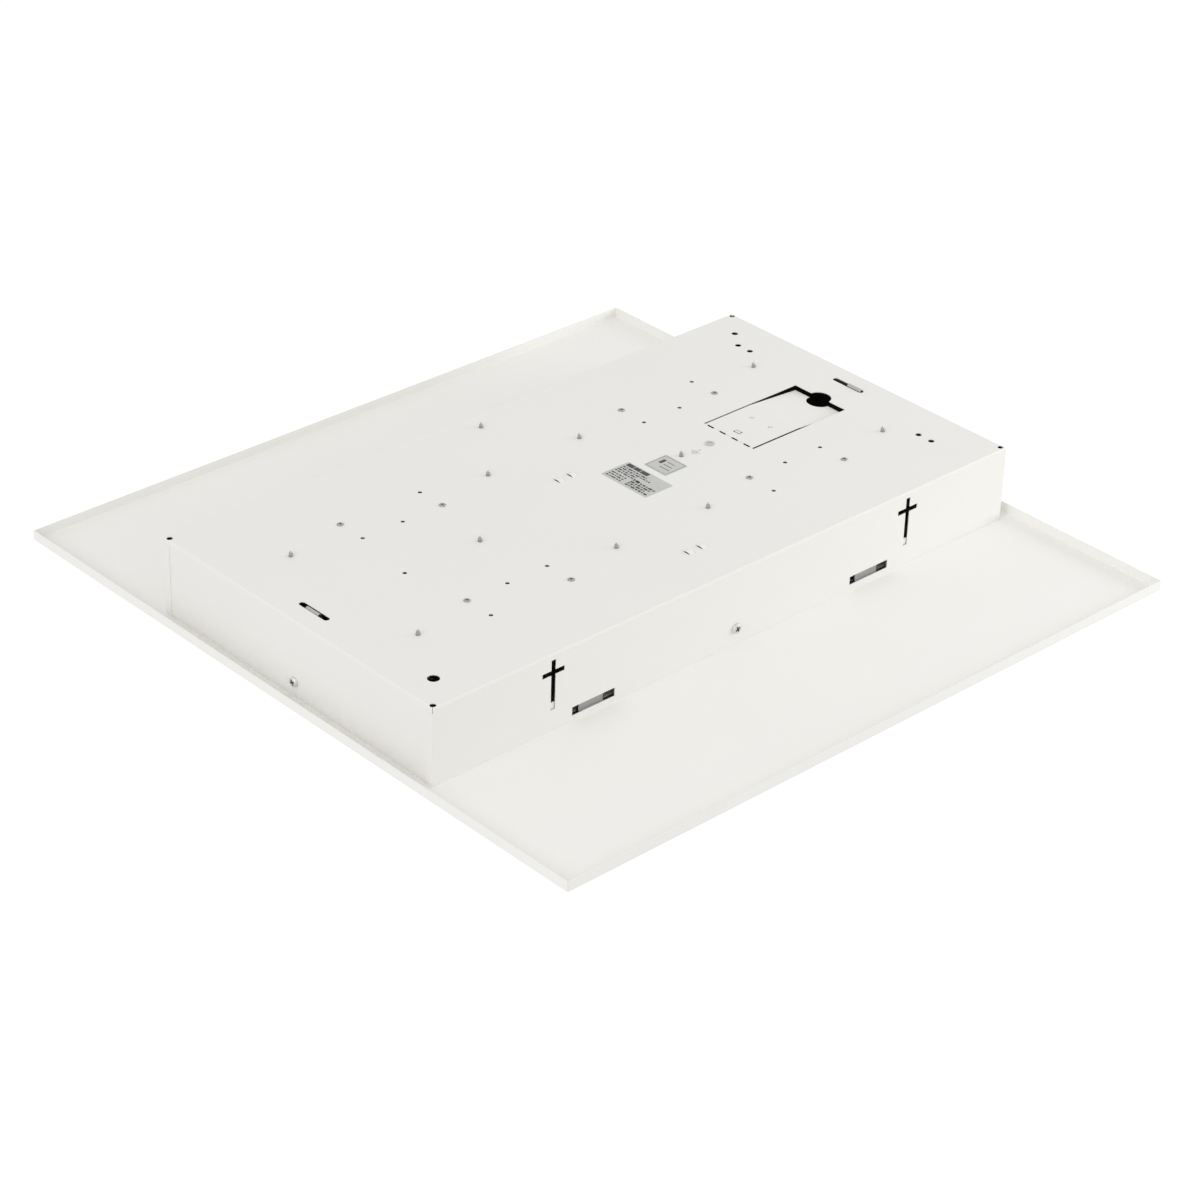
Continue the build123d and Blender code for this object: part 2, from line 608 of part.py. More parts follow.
def make_nut():
    top = TOP_UNDER - WASHER_THICKNESS
    hexagon = Pos(EARTH_X, 0) * RegularPolygon(NUT_FLAT / 2, 6, major_radius=False)
    return raised(hexagon - facet_disc(EARTH_X, 0, STUD_RADIUS + HOLE_PLAY), top - NUT_HEIGHT, top)


def make_earth_tab():
    # Foot under the top, blade bent down from its inner end
    low = TOP_UNDER - EARTH_TAB_THICKNESS
    inner = EARTH_TAB_Y - EARTH_TAB_FOOT + EARTH_TAB_WIDTH / 2
    foot = Pos(0, inner + EARTH_TAB_FOOT / 2) * Rectangle(EARTH_TAB_WIDTH, EARTH_TAB_FOOT)
    blade = Pos(0, inner + EARTH_TAB_THICKNESS / 2) * Rectangle(EARTH_TAB_BLADE, EARTH_TAB_THICKNESS)
    foot = foot - facet_disc(0, EARTH_TAB_Y, FIXING_RADIUS)
    return raised(foot, low, TOP_UNDER) + raised(blade, low - EARTH_TAB_DROP, low)


def make_flap():
    # Tongue cut out of the top, level over the terminal block and then bent in
    start = HINGE_X + HINGE_GAP
    top = [(start, TOP_HEIGHT), (HINGE_X + FLAP_LEVEL, TOP_HEIGHT), (FLAP_END_X, TOP_HEIGHT - FLAP_FALL)]
    under = [(x, z - SHEET) for x, z in reversed(top)]
    tongue = extrude(Plane.XZ * make_face(Polyline(*top, *under, close=True)), FLAP_WIDTH / 2, both=True)
    holes = [disc(FLAP_END_X, 0, CABLE_HOLE_RADIUS)] + hinge_dashes()
    holes.append(Pos(HINGE_X + HOOK_X, 0) * Rectangle(HOOK_SLOT_WIDTH, HOOK_SLOT_LENGTH))
    holes += [disc(HINGE_X + PEG_X, s * PEG_Y, PEG_RADIUS + SLIP) for s in SIGNS]
    return tongue - raised(Sketch() + holes, TOP_UNDER - FLAP_FALL - CUT_THROUGH, TOP_HEIGHT + CUT_THROUGH)


def pole_y(i):
    return (i - (POLE_COUNT - 1) / 2) * POLE_PITCH


def wire_bore(y, x0, x1):
    start = Plane(origin=(x0, y, CLAMP_Z), x_dir=(0, 1, 0), z_dir=(1, 0, 0))
    return extrude(start * RegularPolygon(WIRE_ENTRY_RADIUS, SMALL_SIDES), x1 - x0)


def make_terminal():
    # Moulded block with a bevelled lower edge, a hook and two pegs through the flap
    end = TERMINAL_X + TERMINAL_LENGTH
    side = Polyline((TERMINAL_X, TOP_UNDER), (TERMINAL_X, TERMINAL_FLOOR),
                    (end - TERMINAL_BEVEL, TERMINAL_FLOOR), (end, TERMINAL_FLOOR + TERMINAL_BEVEL),
                    (end, TOP_UNDER), close=True)
    half = POLE_COUNT * POLE_PITCH / 2 + TERMINAL_WALL
    body = extrude(Plane.XZ * make_face(side), half, both=True)
    hook = HINGE_X + HOOK_X
    tooth = HOOK_SLOT_WIDTH / 2 - HOOK_PLAY
    catch_top = TOP_HEIGHT + SLIP
    arm_top = TOP_UNDER - HOOK_PLAY
    arm_under = arm_top - TERMINAL_WALL
    arm = Polyline((TERMINAL_X, arm_top), (TERMINAL_X, arm_under), (hook - tooth, arm_under),
                   (hook - tooth, catch_top), (hook + tooth, catch_top), (hook + tooth, arm_top), close=True)
    body = body + extrude(Plane.XZ * make_face(arm), HOOK_SLOT_LENGTH / 2 - HOOK_PLAY, both=True)
    pegs = Sketch() + [facet_disc(HINGE_X + PEG_X, s * PEG_Y, PEG_RADIUS) for s in SIGNS]
    body = body + raised(pegs, TOP_UNDER, catch_top)
    pocket_height = BUTTON_SUNK + BUTTON_TRAVEL + SLIP
    pocket = Box(BUTTON_LENGTH + 2 * SLIP, BUTTON_WIDTH + 2 * SLIP, 2 * pocket_height)
    chamber = Box(CLAMP_LENGTH + 2 * SLIP, CLAMP_WIDTH + 2 * SLIP, CLAMP_HEIGHT + 2 * SLIP)
    cuts = []
    for i in range(POLE_COUNT):
        cuts.append(Pos(BUTTON_X, pole_y(i), TERMINAL_FLOOR) * pocket)
        cuts.append(Pos(CLAMP_X, pole_y(i), CLAMP_Z) * chamber)
        cuts.append(wire_bore(pole_y(i), TERMINAL_X - CUT_THROUGH, end + CUT_THROUGH))
    return body - cuts


def make_clamps():
    cage = Box(CLAMP_LENGTH, CLAMP_WIDTH, CLAMP_HEIGHT)
    solids = []
    for i in range(POLE_COUNT):
        bore = wire_bore(pole_y(i), CLAMP_X - CLAMP_LENGTH, CLAMP_X + CLAMP_LENGTH)
        solids.append(Pos(CLAMP_X, pole_y(i), CLAMP_Z) * cage - bore)
    return group(solids)


def make_button(i):
    height = BUTTON_PROUD + BUTTON_SUNK
    key = Box(BUTTON_LENGTH, BUTTON_WIDTH, height)
    key = chamfer(key.edges().group_by(Axis.Z)[0], BUTTON_BEVEL)
    return Pos(BUTTON_X, pole_y(i), TERMINAL_FLOOR - BUTTON_PROUD + height / 2) * key


def make_frame():
    # Shallow tray with a lip under the diffuser and four taller grips
    outline = Rectangle(2 * FRAME_X, 2 * FRAME_Y)
    lip = outline - Rectangle(2 * (FRAME_X - FRAME_LIP), 2 * (FRAME_Y - FRAME_LIP))
    wall = outline - Rectangle(2 * (FRAME_X - SHEET), 2 * (FRAME_Y - SHEET))
    grip = Rectangle(FRAME_GRIP_WIDTH, SHEET)
    grips = Sketch() + [spot * grip for spot in GridLocations(2 * CLIP_X, 2 * FRAME_Y - SHEET, 2, 2)]
    tray = raised(lip, FRAME_RECESS, FRAME_FLOOR) + raised(wall, FRAME_FLOOR, FRAME_TOP)
    return tray + raised(grips, FRAME_TOP, FRAME_GRIP_HEIGHT)


def make_diffuser():
    edge = SHEET + SLIP
    return raised(Rectangle(2 * (FRAME_X - edge), 2 * (FRAME_Y - edge)), FRAME_FLOOR, DIFFUSER_TOP)


def make_holders():
    # Hooked strips over the frame's edge that keep the diffuser down
    hook = Polyline((-HOLDER_REACH, 0), (0, 0), (0, -HOLDER_LEG), (HOLDER_THICKNESS, -HOLDER_LEG),
                    (HOLDER_THICKNESS, HOLDER_THICKNESS), (-HOLDER_REACH, HOLDER_THICKNESS), close=True)
    strip = extrude(Plane.YZ * make_face(hook), HOLDER_WIDTH / 2, both=True)
    reach = SITE_X + BOARD_SCREW_DX
    places = [Pos(x, FRAME_Y, FRAME_TOP) for x in (-reach, 0, reach)]
    places += [Pos(x, -FRAME_Y, FRAME_TOP) * Rot(0, 0, 180) for x in (-reach, 0, reach)]
    places += [Pos(s * FRAME_X, 0, FRAME_TOP) * Rot(0, 0, -s * 90) for s in SIGNS]
    return group(place * strip for place in places)


def make_spring_clip(sx, sy):
    # Leaf against the collar, bowed inwards to the frame's grip
    face = COLLAR_Y - SHEET
    top = COLLAR_HEIGHT - CLIP_TOP_DROP
    middle = CLIP_SLOT_Z - CLIP_BOW_DROP
    high = middle + CLIP_BOW / 2
    low = middle - CLIP_BOW / 2
    reach = FRAME_GAP - CLIP_GRIP_PLAY
    back = face - CLIP_THICKNESS
    lines = [Line((face, top), (face, high)),
             ThreePointArc((face, high), (face - reach + CLIP_THICKNESS, middle), (face, low)),
             Line((face, low), (back, low)),
             ThreePointArc((back, low), (face - reach, middle), (back, high)),
             Line((back, high), (back, top)),
             Line((back, top), (face, top))]
    leaf = extrude(Plane.YZ * make_face(lines), CLIP_WIDTH / 2, both=True)
    if sy < 0:
        leaf = mirror(leaf, Plane.XZ)
    return Pos(sx * CLIP_X, 0, 0) * leaf


def make_parts():
    parts = {}
    parts["housing"] = make_housing()
    parts["trim_pan"] = make_pan()
    parts["housing_screws"] = group(place.location * wall_screw() for place in wall_screw_places())
    parts["gear_cover"] = make_cover()
    parts["cover_lug_left"] = make_lug(-LUG_X, LUG_LEFT_Y, LUG_LEFT_RISE)
    parts["cover_lug_right"] = make_lug(LUG_X, LUG_RIGHT_Y, LUG_RIGHT_RISE)
    screws = []
    rivets = []
    for n, (x, y, side) in enumerate(board_sites(), 1):
        parts[f"led_board_{n}"] = make_board(x, y, side)
        parts[f"led_chips_{n}"] = make_leds(x, y)
        screws += [tapping_screw(px, py, BOARD_UNDER) for px, py in board_screw_points(x, y)]
        rivets += [make_rivet(px, py) for px, py in rivet_points(x, y)]
    parts["board_screws"] = group(screws)
    parts["board_rivets"] = group(rivets)
    parts["board_connectors"] = make_connectors()
    parts["driver_base"] = make_driver_base()
    parts["driver_lid"] = make_driver_lid()
    parts["driver_film"] = driver_plate(DRIVER_TOP - FILM, DRIVER_TOP)
    parts["driver_board"] = driver_plate(DRIVER_BOARD_UNDER, DRIVER_TOP - FILM)
    parts["driver_transformer"] = make_transformer()
    parts["driver_capacitors"] = make_capacitors()
    parts["driver_connectors"] = make_driver_ports()
    parts["driver_screws"] = group(tapping_screw(x, 0, DRIVER_TOP) for x in (DRIVER_LEFT_X, DRIVER_RIGHT_X))
    parts["earth_stud"] = make_stud()
    parts["earth_washer"] = make_washer()
    parts["earth_nut"] = make_nut()
    parts["earth_tab"] = make_earth_tab()
    parts["earth_tab_screw"] = tapping_screw(0, EARTH_TAB_Y, TOP_UNDER - EARTH_TAB_THICKNESS)
    parts["spring_clip_front_left"] = make_spring_clip(-1, -1)
    parts["spring_clip_front_right"] = make_spring_clip(1, -1)
    parts["spring_clip_rear_left"] = make_spring_clip(-1, 1)
    parts["spring_clip_rear_right"] = make_spring_clip(1, 1)
    parts["optic_frame"] = make_frame()
    parts["diffuser"] = make_diffuser()
    parts["diffuser_clips"] = make_holders()
    parts["cable_flap"] = make_flap()
    parts["terminal_block"] = make_terminal()
    parts["terminal_clamps"] = make_clamps()
    for i in range(POLE_COUNT):
        parts[f"terminal_button_{i + 1}"] = make_button(i)
    return parts


os.makedirs("parts", exist_ok=True)
for name, shape in make_parts().items():
    export_step(shape, f"parts/{name}.step")
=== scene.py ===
import json
from math import cos, pi, radians, sin, tau
import bmesh
import bpy
from mathutils import Matrix, Vector


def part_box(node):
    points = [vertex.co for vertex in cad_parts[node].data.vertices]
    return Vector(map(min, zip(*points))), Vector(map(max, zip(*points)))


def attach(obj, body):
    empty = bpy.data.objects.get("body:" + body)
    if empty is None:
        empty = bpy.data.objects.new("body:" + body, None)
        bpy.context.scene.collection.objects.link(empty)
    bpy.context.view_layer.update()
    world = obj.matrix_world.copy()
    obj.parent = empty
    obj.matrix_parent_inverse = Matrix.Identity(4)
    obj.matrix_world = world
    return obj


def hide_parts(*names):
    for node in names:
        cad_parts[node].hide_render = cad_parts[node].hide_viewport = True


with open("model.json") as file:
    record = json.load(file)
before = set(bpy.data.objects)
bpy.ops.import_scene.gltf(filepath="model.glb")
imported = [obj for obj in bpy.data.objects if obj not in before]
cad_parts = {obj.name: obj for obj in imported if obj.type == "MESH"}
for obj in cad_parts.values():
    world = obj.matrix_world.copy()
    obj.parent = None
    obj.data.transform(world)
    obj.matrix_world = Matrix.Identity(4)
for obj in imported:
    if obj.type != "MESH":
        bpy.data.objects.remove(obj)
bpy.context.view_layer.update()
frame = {"nodes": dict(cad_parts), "record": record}

# Lengths in this script are millimetres, made metres when a piece is finished
MM = 0.001
SHEET = 0.7
SHARP_ANGLE = radians(35)
SOLID_MERGE = 0.001
TURNED_MERGE = 1e-5
CUT_SNAP = 1e-4

# Camera of the photograph, about the middle of the front face
CAMERA_AZIMUTH = radians(-43.61)
CAMERA_ELEVATION = radians(30.77)
CAMERA_ROLL = radians(1.85)
CAMERA_DISTANCE = 2648.5
CAMERA_RIGHT = 3.7
CAMERA_UP = -25.9
CAMERA_LENS = 106.1
CAMERA_SENSOR = 36.0
CAMERA_REACH = 100000.0

# Floor, sky and softboxes, with powers in watts
SKY_LEVEL = 0.82
FLOOR_GLOW = 0.78
FLOOR_WHITE = 0.93
FLOOR_SHADE = 0.12
FLOOR_DROP = 0.6
FLOOR_SIDE = 9000.0
SLIT_SHADE = 1.5
SLIT_SHADE_END = 2.25
KEY_PLACE = (-5000.0, -1200.0, 3000.0)
KEY_AIM = (0.0, 0.0, 0.0)
KEY_SIDE = 3000.0
KEY_POWER = 74.0
FILL_PLACE = (1300.0, -900.0, 300.0)
FILL_AIM = (100.0, -100.0, 0.0)
FILL_SIDE = 700.0
FILL_POWER = 7.8

# Threaded screws, with crown, tip and root as shares of a radius, crest and foot as shares of the pitch
SCREW_STEPS = 20
SCREW_HEAD_HEIGHT = 2.2
SCREW_HEAD_CROWN = 0.8
SCREW_CROWN_FLAT = 0.55
SCREW_CROWN_SHOULDER = 0.9
SCREW_SHANK_RADIUS = 1.65
SCREW_POINT_LENGTH = 1.8
SCREW_TIP_LENGTH = 0.1
SCREW_TIP_SHARE = 0.25
THREAD_STEPS = 14
THREAD_PITCH = 1.1
THREAD_DEPTH = 0.32
THREAD_CREST = 0.3
THREAD_FOOT = 0.6
THREAD_ROOT_SHARE = 0.96
THREAD_START = 0.1

# Rivets
RIVET_STEPS = 28
RIVET_DOME_STEPS = 4
RIVET_HEAD_HEIGHT = 0.9
RIVET_EDGE_HEIGHT = 0.2
RIVET_FLAT_RING = 0.4
RIVET_BORE_RADIUS = 0.95
RIVET_BORE_DEPTH = 1.1
RIVET_BORE_EDGE = 0.12
RIVET_BORE_EDGE_DEPTH = 0.1
RIVET_SHANK_RADIUS = 1.65
RIVET_TAIL_HEIGHT = 1.8
RIVET_TAIL_RADIUS = 2.3
RIVET_TAIL_SHOULDER = 0.3
RIVET_TAIL_ROUND = 0.5
RIVET_TAIL_INSET = 0.6

# Wall screws, with the crown's reach, the shoulder and the top as shares of the head's radius or height
WALL_SCREW_STEPS = 40
WALL_SCREW_RADIUS = 4.0
WALL_SCREW_HEAD = 2.4
WALL_SCREW_CROWN_STEPS = 3
WALL_SCREW_CROWN_REACH = 0.24
WALL_SCREW_CROWN_DROP = 0.02
WALL_SCREW_SHOULDER = ((0.88, 0.82), (0.97, 0.6), (1.0, 0.35))
WALL_SCREW_TOP_SHARE = 0.8
WALL_SCREW_SHANK_RADIUS = 1.7
WALL_SCREW_SHANK_END = 7.2
WALL_SCREW_TIP = 8.0
WALL_SCREW_TURN = radians(24)
RECESS_REACH = 2.3
RECESS_HALF = 0.7
RECESS_DEPTH = 1.5

# LED packages
LED_BOARD_COUNT = 4
LED_FRAME = 0.35
LED_LENS_EDGE = 0.05
LED_LENS_SINK = 0.12
LED_CORNER = 0.25
LED_CORNER_STEPS = 1

# Silver labels, their corners on the top as lowest and highest X, then lowest and highest Y
LABEL_THICKNESS = 0.12
LABEL_CORNER = 1.2
LABEL_CORNER_STEPS = 5
PRINT_HEIGHT = 0.02
RATING_LABEL = (20.5, 49.0, -30.0, 18.5)
SMALL_LABEL = (55.0, 78.5, -15.2, 8.6)

# Plain print of the rating label: heading blocks, then for each block of dashes its start, the ends of its
# lines, its first level, the pitch and height of the lines, and the dash that it begins with
HEADING_LEVELS = (23.2, 27.4)
HEADING_BLOCKS = ((2.2, 9.4), (10.0, 16.6), (17.2, 25.2))
DASH_BLOCKS = ((2.2, (28.0, 34.0, 22.0, 29.0), 20.2, 2.7, 1.5, 0),
               (2.2, (18.0, 18.0, 18.0), 8.4, 2.9, 1.4, 2),
               (23.0, (46.0, 43.5, 41.0, 46.0), 10.8, 2.8, 1.9, 1))
DASH_LENGTHS = (2.6, 1.3, 4.2, 1.8)
DASH_GAP = 1.0

# Plain print of the small label: a ruled border, one block and a few lines
BORDER_INSET = 1.2
BORDER_LINE = 0.3
SMALL_BLOCK = (4.4, 7.4, 11.0, 17.4)
SMALL_LINE_COUNT = 3
SMALL_LINE_START = 9.6
SMALL_LINE_MARGIN = 4.0
SMALL_LINE_STEP = 1.5
SMALL_LINE_LEVEL = 7.0
SMALL_LINE_PITCH = 4.4
SMALL_LINE_HEIGHT = 0.7

# Earth sign raised on the top
EARTH_MARK_X = 99.0
EARTH_MARK_Y = -2.5
EARTH_MARK_BARS = (8.0, 5.2, 2.4)
EARTH_MARK_PITCH = 1.8
EARTH_MARK_STEM = 6.0
EARTH_MARK_LINE = 1.0
EARTH_MARK_HEIGHT = 0.14
EARTH_MARK_SINK = 0.05
EARTH_MARK_EDGE = 0.1

# Dark grey on the back of the sheet metal, a primer colour made this dark as painted shade inside the
# housing, and how deep in the sheet it begins
PRIMER_AND_SHADE_GREY = (44, 45, 45)
PRIMER_AND_SHADE_DEPTH = 0.8 * SHEET

# Share of a normal along an axis, above which its face counts as facing that way
FACING = 0.5
FACING_SLIGHTLY = 0.02


def top_level():
    # Outer face of the housing's top, one sheet above the LED boards
    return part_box("led_board_1")[1].z / MM + SHEET


def solid_boxes(node):
    # Lowest and highest corner of each separate solid in a CAD node
    bm = bmesh.new()
    bm.from_mesh(frame["nodes"][node].data)
    bmesh.ops.remove_doubles(bm, verts=bm.verts, dist=SOLID_MERGE * MM)
    left = set(bm.verts)
    boxes = []
    while left:
        solid = connected_verts([left.pop()])
        left.difference_update(solid)
        points = [vert.co / MM for vert in solid]
        low = Vector([min(point[axis] for point in points) for axis in range(3)])
        high = Vector([max(point[axis] for point in points) for axis in range(3)])
        boxes.append((low, high))
    bm.free()
    return sorted(boxes, key=lambda box: (round(box[0].x, 3), round(box[0].y, 3)))


def connected_verts(start):
    # All points that hang together with the given ones
    found = dict.fromkeys(start)
    waiting = list(found)
    while waiting:
        for edge in waiting.pop().link_edges:
            for vert in edge.verts:
                if vert not in found:
                    found[vert] = None
                    waiting.append(vert)
    return list(found)


def edges_of(verts):
    # Edges at the given points, each once
    return list(dict.fromkeys(edge for vert in verts for edge in vert.link_edges))


def faces_of(verts):
    # Faces at the given points, each once
    return list(dict.fromkeys(face for vert in verts for face in vert.link_faces))


def finish_piece(name, bm, finishes, body, stands_for=()):
    # Turn a bmesh in millimetres into a piece that moves with a body
    bmesh.ops.scale(bm, vec=(MM, MM, MM), verts=bm.verts)
    bmesh.ops.recalc_face_normals(bm, faces=bm.faces)
    for face in bm.faces:
        face.smooth = True
    for edge in bm.edges:
        edge.smooth = edge.calc_face_angle(pi) < SHARP_ANGLE
    mesh = bpy.data.meshes.new(name)
    bm.to_mesh(mesh)
    bm.free()
    for finish in finishes:
        mesh.materials.append(finish)
    piece = bpy.data.objects.new(name, mesh)
    bpy.context.scene.collection.objects.link(piece)
    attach(piece, body)
    if stands_for:
        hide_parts(*stands_for)


def add_box(bm, low, high):
    # Plain box between two corners, given back as its points
    size = Vector(high) - Vector(low)
    middle = (Vector(high) + Vector(low)) / 2
    place = Matrix.Translation(middle) @ Matrix.Diagonal((*size, 1))
    return bmesh.ops.create_cube(bm, size=1.0, matrix=place)["verts"]


def add_bar(bm, low, high, edge=0.0, finish=0):
    # Box between two corners, all its edges rounded where an edge radius is given
    verts = add_box(bm, low, high)
    for face in faces_of(verts):
        face.material_index = finish
    if edge:
        bmesh.ops.bevel(bm, geom=edges_of(verts), offset=edge, affect="EDGES", segments=2,
                        profile=0.5, material=-1)


def add_plate(bm, low, high, corner, steps):
    # Box between two corners with its upright edges rounded, given back as its faces
    verts = add_box(bm, low, high)
    upright = []
    for edge in edges_of(verts):
        if abs(edge.verts[0].co.z - edge.verts[1].co.z) > (high[2] - low[2]) / 2:
            upright.append(edge)
    made = bmesh.ops.bevel(bm, geom=upright, offset=corner, affect="EDGES", segments=steps,
                           profile=0.5, material=-1)
    return faces_of(connected_verts(made["verts"]))


def add_turned(bm, outline, place, steps):
    # Outline of radius and height pairs, spun about its own axis and set in place
    verts = [bm.verts.new((radius, 0, height)) for radius, height in outline]
    edges = [bm.edges.new(pair) for pair in zip(verts, verts[1:])]
    bmesh.ops.spin(bm, geom=verts + edges, cent=(0, 0, 0), axis=(0, 0, 1), dvec=(0, 0, 0),
                   angle=tau, steps=steps, use_merge=True, use_duplicate=False)
    turned = [vert for vert in bm.verts if not vert.tag]
    bmesh.ops.remove_doubles(bm, verts=turned, dist=TURNED_MERGE)
    set_in_place(bm, place)


def set_in_place(bm, place):
    # Move the points added since the last call
    added = [vert for vert in bm.verts if not vert.tag]
    bmesh.ops.transform(bm, matrix=place, verts=added)
    for vert in added:
        vert.tag = True


# Finishes


def linear(colour):
    # Screen colour of 0 to 255 as the shader's own scale
    shares = [value / 255 for value in colour]
    return [share / 12.92 if share <= 0.04045 else ((share + 0.055) / 1.055) ** 2.4 for share in shares]


class Nodes:
    # Short ways to add, link and calculate in one node tree

    def __init__(self, tree):
        self.tree = tree
        self.source = None

    def add(self, kind):
        return self.tree.nodes.new(kind)

    def put(self, value, socket):
        # Link an output to a socket, or write a plain value there
        if isinstance(value, bpy.types.NodeSocket):
            self.tree.links.new(value, socket)
        else:
            socket.default_value = value

    def maths(self, operation, *values):
        node = self.add("ShaderNodeMath")
        node.operation = operation
        for value, socket in zip(values, node.inputs):
            self.put(value, socket)
        return node.outputs[0]

    def coordinates(self, kind):
        # Object coordinates or Normal, from one node for the whole tree
        if not self.source:
            self.source = self.add("ShaderNodeTexCoord")
        return self.source.outputs[kind]

    def coordinate(self, kind, letter):
        # One component of the Object coordinates or of the Normal
        split = self.add("ShaderNodeSeparateXYZ")
        self.put(self.coordinates(kind), split.inputs["Vector"])
        return split.outputs[letter]

    def distance(self, letter):
        # Distance from the middle of the object along one axis
        return self.maths("ABSOLUTE", self.coordinate("Object", letter))

    def span(self, value, low, high, start=0.0, end=1.0):
        # Value between start and end, spread between low and high
        node = self.add("ShaderNodeMapRange")
        node.inputs["From Min"].default_value = start
        node.inputs["From Max"].default_value = end
        node.inputs["To Min"].default_value = low
        node.inputs["To Max"].default_value = high
        self.put(value, node.inputs["Value"])
        return node.outputs["Result"]

    def looked_at(self, *kinds):
        # 1 for the kinds of ray that see the stage, 0 for those that carry its light
        rays = self.add("ShaderNodeLightPath")
        share = rays.outputs[kinds[0]]
        for kind in kinds[1:]:
            share = self.maths("MAXIMUM", share, rays.outputs[kind])
        return share

    def glow(self, kind, strength):
        # White light from an emission or background node
        node = self.add(kind)
        node.inputs["Color"].default_value = (1, 1, 1, 1)
        self.put(strength, node.inputs["Strength"])
        return node.outputs[0]

    def shader_mix(self, share, first, second):
        node = self.add("ShaderNodeMixShader")
        for value, socket in zip((share, first, second), node.inputs):
            self.put(value, socket)
        return node.outputs[0]


class Finish(Nodes):
    # Material whose colour, gloss and relief come from nodes on Object coordinates

    def __init__(self, name, metallic=0.0):
        self.material = bpy.data.materials.new(name)
        self.material.use_nodes = True
        super().__init__(self.material.node_tree)
        self.shader = self.tree.nodes["Principled BSDF"]
        self.shader.inputs["Metallic"].default_value = metallic

    def noise(self, scale, detail=2.0, stretch=(1.0, 1.0, 1.0)):
        mapping = self.add("ShaderNodeMapping")
        mapping.inputs["Scale"].default_value = stretch
        self.put(self.coordinates("Object"), mapping.inputs["Vector"])
        texture = self.add("ShaderNodeTexNoise")
        texture.inputs["Scale"].default_value = scale
        texture.inputs["Detail"].default_value = detail
        self.put(mapping.outputs["Vector"], texture.inputs["Vector"])
        return texture.outputs["Fac"]

    def mixed(self, share, first, second):
        # Two screen colours, or a colour output and a screen colour, by a share
        mix = self.add("ShaderNodeMix")
        mix.data_type = "RGBA"
        sockets = [socket for socket in mix.inputs if socket.type == "RGBA"]
        for value, socket in zip((first, second), sockets):
            if isinstance(value, tuple):
                value = (*linear(value), 1)
            self.put(value, socket)
        self.put(share, mix.inputs["Factor"])
        return [socket for socket in mix.outputs if socket.type == "RGBA"][0]

    def colour(self, output):
        self.put(output, self.shader.inputs["Base Color"])

    def roughness(self, share, low, high):
        self.put(self.span(share, low, high), self.shader.inputs["Roughness"])

    def relief(self, height, strength, depth):
        bump = self.add("ShaderNodeBump")
        bump.inputs["Strength"].default_value = strength
        bump.inputs["Distance"].default_value = depth * MM
        self.put(height, bump.inputs["Height"])
        self.put(bump.outputs["Normal"], self.shader.inputs["Normal"])


def powder_coat(name, pale, deep, back=None):
    # Baked coat with orange peel, and where asked the sheet's back in dark primer grey, painted as shade
    finish = Finish(name)
    coat = finish.mixed(finish.noise(scale=9.0, detail=3.0), deep, pale)
    if back:
        coat = finish.mixed(back(finish), coat, PRIMER_AND_SHADE_GREY)
    finish.colour(coat)
    finish.roughness(finish.noise(scale=260.0), low=0.58, high=0.70)
    finish.relief(finish.noise(scale=620.0, detail=1.5), strength=0.10, depth=0.12)
    return finish.material


def housing_back_shade(finish):
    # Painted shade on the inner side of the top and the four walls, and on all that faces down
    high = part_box("housing")[1]
    # The end walls stand one sheet in from the corner tabs
    inside_x = finish.maths("LESS_THAN", finish.distance("X"), high.x - (PRIMER_AND_SHADE_DEPTH + SHEET) * MM)
    inside_y = finish.maths("LESS_THAN", finish.distance("Y"), high.y - PRIMER_AND_SHADE_DEPTH * MM)
    below = finish.maths("LESS_THAN", finish.coordinate("Object", "Z"), (top_level() - PRIMER_AND_SHADE_DEPTH) * MM)
    under = finish.maths("LESS_THAN", finish.coordinate("Normal", "Z"), -FACING)
    deep = finish.maths("MAXIMUM", below, under)
    return finish.maths("MULTIPLY", finish.maths("MULTIPLY", inside_x, inside_y), deep)


def flap_back_shade(finish):
    # Painted shade on the underside and cut edges of the flap
    return finish.maths("LESS_THAN", finish.coordinate("Normal", "Z"), FACING)


def cover_back_shade(finish):
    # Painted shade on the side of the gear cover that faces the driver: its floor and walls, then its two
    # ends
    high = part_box("gear_cover")[1]
    upward = finish.maths("GREATER_THAN", finish.coordinate("Normal", "Z"), FACING_SLIGHTLY)
    inside = finish.maths("LESS_THAN", finish.distance("X"), high.x - SHEET / 2 * MM)
    endways = finish.maths("ABSOLUTE", finish.coordinate("Normal", "X"))
    end_wall = finish.maths("GREATER_THAN", endways, FACING)
    return finish.maths("MAXIMUM", upward, finish.maths("MULTIPLY", inside, end_wall))


def optic_back_shade(finish):
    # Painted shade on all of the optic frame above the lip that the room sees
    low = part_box("optic_frame")[0]
    return finish.maths("GREATER_THAN", finish.coordinate("Object", "Z"), low.z + SHEET * MM)


def board_back_shade(finish):
    # Painted shade on the bare side of the LED boards, against the top
    low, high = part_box("led_board_1")
    return finish.maths("GREATER_THAN", finish.coordinate("Object", "Z"), (low.z + high.z) / 2)


def plated_steel(name, pale, deep, roughness, metallic=1.0, grain=(1.0, 1.0, 1.0)):
    # Bright metal with a fine grain, drawn out along an axis where asked
    finish = Finish(name, metallic)
    finish.colour(finish.mixed(finish.noise(scale=900.0, detail=3.0, stretch=grain), deep, pale))
    dull = finish.noise(scale=1500.0, stretch=grain)
    finish.roughness(dull, low=roughness * 0.8, high=roughness * 1.3)
    finish.relief(finish.noise(scale=2600.0, stretch=grain), strength=0.12, depth=0.05)
    return finish.material


